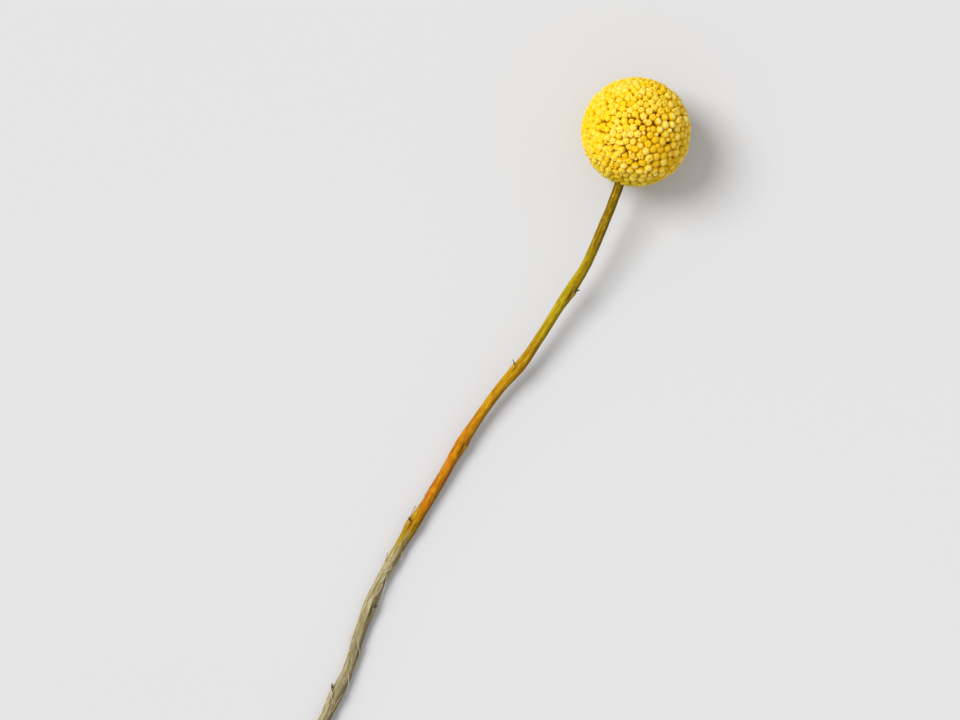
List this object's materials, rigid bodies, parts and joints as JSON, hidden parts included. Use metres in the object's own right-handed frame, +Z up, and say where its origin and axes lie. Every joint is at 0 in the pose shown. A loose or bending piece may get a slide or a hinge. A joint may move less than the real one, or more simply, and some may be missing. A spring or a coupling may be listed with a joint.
{
  "type": "billy buttons stem",
  "caption": "Dried billy button: a golden globe of close-set florets on a long, slender, gently wavy cut stem, lying on a surface.",
  "frame": {"origin": "middle of the flat spot under the globe, on the surface that the part lies on", "axes": "+Z up from that surface; +Y from the cut end towards the globe, along the stem"},
  "size_m": [0.0298, 0.4002, 0.0295],
  "materials": {
    "florets": "matt dried florets, golden yellow with paler tips and ochre gaps",
    "stem": "matt dried stem, yellow and orange near the globe, grey-tan and fibrous further down"
  },
  "bodies": {
    "root": {"flower_head": "florets", "stem": "stem"}
  },
  "joints": []
}
